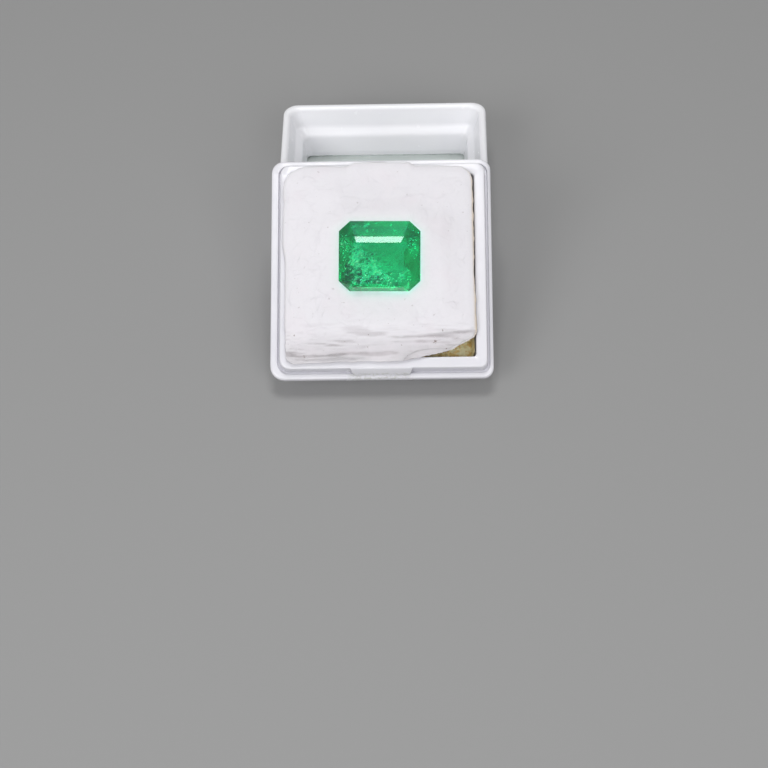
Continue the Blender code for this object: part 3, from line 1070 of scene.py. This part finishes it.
class GEMBOX_OT_cotton(bpy.types.Operator):
    """Makes the cotton wool pad and its loose fibres"""
    bl_idname = "gem_box.cotton"
    bl_label = "Cotton pad"

    def execute(self, context):
        finish = settings().cotton
        cotton = make_cotton(finish, cotton_material(finish))
        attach(cotton, BODY)
        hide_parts("cotton_pad")
        return {"FINISHED"}


class GEMBOX_OT_emerald(bpy.types.Operator):
    """Dresses the stone in clear green and makes the inclusions in it"""
    bl_idname = "gem_box.emerald"
    bl_label = "Emerald"

    def execute(self, context):
        finish = settings().emerald
        dress("emerald", emerald_material(finish))
        flakes = make_inclusions(finish)
        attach(flakes, BODY)
        return {"FINISHED"}


def make_floor(colour):
    half = FLOOR_SIDE / 2
    corners = [(-half, -half, 0.0), (half, -half, 0.0), (half, half, 0.0), (-half, half, 0.0)]
    floor = mesh_object("floor", corners, [(0, 1, 2, 3)], smooth=False)
    made, tree, shader = new_material("Plain floor")
    set_inputs(tree, shader, {"Base Color": rgba(colour), "Roughness": 0.8})
    floor.data.materials.append(made)


def make_light(name, side, place, power):
    data = bpy.data.lights.new(name, "AREA")
    data.shape = "SQUARE"
    data.size = side
    data.energy = power
    lamp = linked(name, data)
    lamp.location = place
    lamp.rotation_euler = (LIGHT_AIM - place).to_track_quat("-Z", "Y").to_euler()


def camera_turn():
    """The camera's rotation: yaw from +Y, pitch down and roll about its own line of sight."""
    look = Vector((math.sin(CAMERA_YAW) * math.cos(CAMERA_PITCH),
                   math.cos(CAMERA_YAW) * math.cos(CAMERA_PITCH), -math.sin(CAMERA_PITCH)))
    level = Vector((math.cos(CAMERA_YAW), -math.sin(CAMERA_YAW), 0.0))
    rise = level.cross(look)
    right = level * math.cos(CAMERA_ROLL) + rise * math.sin(CAMERA_ROLL)
    up = rise * math.cos(CAMERA_ROLL) - level * math.sin(CAMERA_ROLL)
    return Matrix((right, up, -look)).transposed()


class GEMBOX_OT_stage(bpy.types.Operator):
    """Makes the floor, the soft lights and the camera"""
    bl_idname = "gem_box.stage"
    bl_label = "Stage"

    def execute(self, context):
        stage = settings().stage
        make_floor(stage.floor_colour)
        for name, side, place in LIGHTS:
            make_light(name, side, Vector(place), getattr(stage, name))
        world = bpy.data.worlds.new("Even light")
        world.use_nodes = True
        set_inputs(world.node_tree, world.node_tree.nodes["Background"],
                   {"Color": (1.0, 1.0, 1.0, 1.0), "Strength": stage.ambient})
        context.scene.world = world
        context.scene.view_settings.view_transform = "Standard"
        data = bpy.data.cameras.new("camera")
        data.lens = stage.lens
        data.sensor_width = SENSOR
        data.clip_start = CAMERA_NEAREST
        camera = linked("camera", data)
        camera.matrix_world = Matrix.Translation(CAMERA_PLACE) @ camera_turn().to_4x4()
        context.scene.camera = camera
        return {"FINISHED"}


OPERATORS = (
    GEMBOX_OT_stage, GEMBOX_OT_tray, GEMBOX_OT_lid, GEMBOX_OT_card, GEMBOX_OT_cotton, GEMBOX_OT_emerald)


class GEMBOX_PT_panel(bpy.types.Panel):
    """Lists the pieces and their finishes"""
    bl_label = "Gem display box"
    bl_idname = "GEMBOX_PT_panel"
    bl_space_type = "VIEW_3D"
    bl_region_type = "UI"
    bl_category = "Gem box"

    def draw(self, context):
        for operator in OPERATORS:
            self.layout.operator(operator.bl_idname)
        for group in GemBoxSettings.__annotations__:
            box = self.layout.box()
            box.label(text=group.capitalize())
            finish = getattr(context.scene.gem_box, group)
            for name in finish.__annotations__:
                box.prop(finish, name)


GROUPS = (TrayFinish, LidFinish, CottonFinish, GoldFinish, EmeraldFinish, StageSettings, GemBoxSettings)
CLASSES = (*GROUPS, *OPERATORS, GEMBOX_PT_panel)


def register():
    for made in CLASSES:
        bpy.utils.register_class(made)
    bpy.types.Scene.gem_box = bpy.props.PointerProperty(type=GemBoxSettings)


def unregister():
    del bpy.types.Scene.gem_box
    for made in reversed(CLASSES):
        bpy.utils.unregister_class(made)


def main():
    register()
    bpy.ops.gem_box.stage()
    bpy.ops.gem_box.tray()
    bpy.ops.gem_box.lid()
    bpy.ops.gem_box.card()
    bpy.ops.gem_box.cotton()
    bpy.ops.gem_box.emerald()


if __name__ == "__main__":
    main()
